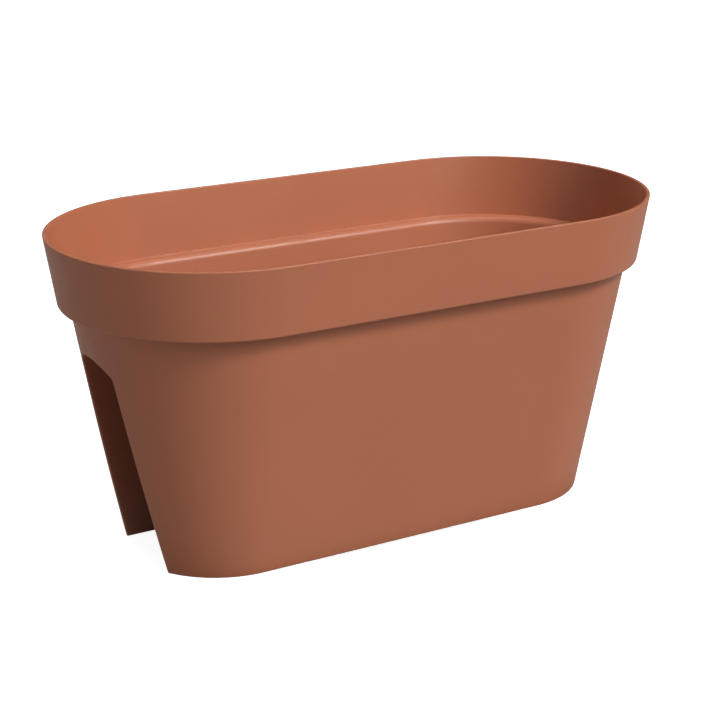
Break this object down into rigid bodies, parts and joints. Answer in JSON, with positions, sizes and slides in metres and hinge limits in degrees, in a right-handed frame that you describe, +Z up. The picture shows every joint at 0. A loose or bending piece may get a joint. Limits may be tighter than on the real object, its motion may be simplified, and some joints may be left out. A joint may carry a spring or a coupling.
{
  "type": "self-watering railing planter",
  "caption": "Long round-ended railing planter with a wide rim band, a slot under it for the rail, and a lift-out self-watering insert in each leg.",
  "frame": {"origin": "middle of the base, on the surface that the two legs stand on", "axes": "+Z up, +X along the length and the rail, -Y towards the front leg"},
  "size_m": [0.4998, 0.25, 0.25],
  "materials": {
    "planter_plastic": "fine satin, moulded terracotta colour",
    "insert_plastic": "satin, moulded",
    "basket_plastic": "satin, moulded",
    "lid_plastic": "fine satin, moulded terracotta colour",
    "clear_plastic": "clear, polished",
    "float_foam": "closed-cell foam",
    "pointer_plastic": "gloss",
    "seal_rubber": "matt",
    "plug_rubber": "matt"
  },
  "bodies": {
    "planter": {"planter_body": "planter_plastic", "front_overflow_pipe": "insert_plastic", "front_overflow_seal": "seal_rubber", "rear_overflow_pipe": "insert_plastic", "rear_overflow_seal": "seal_rubber"},
    "front_insert": {"front_separator": "insert_plastic", "front_fill_tube": "insert_plastic", "front_gauge_tube": "insert_plastic", "front_gauge_dome": "clear_plastic", "front_wick_basket_left": "basket_plastic", "front_wick_basket_middle": "basket_plastic", "front_wick_basket_right": "basket_plastic"},
    "front_lid": {"front_fill_lid": "lid_plastic"},
    "front_float": {"front_gauge_float": "float_foam", "front_gauge_rod": "pointer_plastic"},
    "front_plug": {"front_overflow_plug": "plug_rubber"},
    "rear_insert": {"rear_separator": "insert_plastic", "rear_fill_tube": "insert_plastic", "rear_gauge_tube": "insert_plastic", "rear_gauge_dome": "clear_plastic", "rear_wick_basket_left": "basket_plastic", "rear_wick_basket_middle": "basket_plastic", "rear_wick_basket_right": "basket_plastic"},
    "rear_lid": {"rear_fill_lid": "lid_plastic"},
    "rear_float": {"rear_gauge_float": "float_foam", "rear_gauge_rod": "pointer_plastic"},
    "rear_plug": {"rear_overflow_plug": "plug_rubber"}
  },
  "joints": [
    {"name": "front_insert_lift", "type": "slide", "parent": "planter", "child": "front_insert", "axis": [0, 0, 1], "range_m": [0, 0.26]},
    {"name": "front_lid_hinge", "type": "hinge", "parent": "front_insert", "child": "front_lid", "pos_m": [-0.1685, -0.0578, 0.1932], "axis": [0, -1, 0], "range_deg": [0, 110]},
    {"name": "front_float_rise", "type": "slide", "parent": "front_insert", "child": "front_float", "axis": [0, 0, 1], "range_m": [0, 0.034]},
    {"name": "front_plug_pull", "type": "slide", "parent": "planter", "child": "front_plug", "axis": [0, 0, -1], "range_m": [0, 0.03]},
    {"name": "rear_insert_lift", "type": "slide", "parent": "planter", "child": "rear_insert", "axis": [0, 0, 1], "range_m": [0, 0.26]},
    {"name": "rear_lid_hinge", "type": "hinge", "parent": "rear_insert", "child": "rear_lid", "pos_m": [-0.1685, 0.0578, 0.1932], "axis": [0, -1, 0], "range_deg": [0, 110]},
    {"name": "rear_float_rise", "type": "slide", "parent": "rear_insert", "child": "rear_float", "axis": [0, 0, 1], "range_m": [0, 0.034]},
    {"name": "rear_plug_pull", "type": "slide", "parent": "planter", "child": "rear_plug", "axis": [0, 0, -1], "range_m": [0, 0.03]}
  ]
}
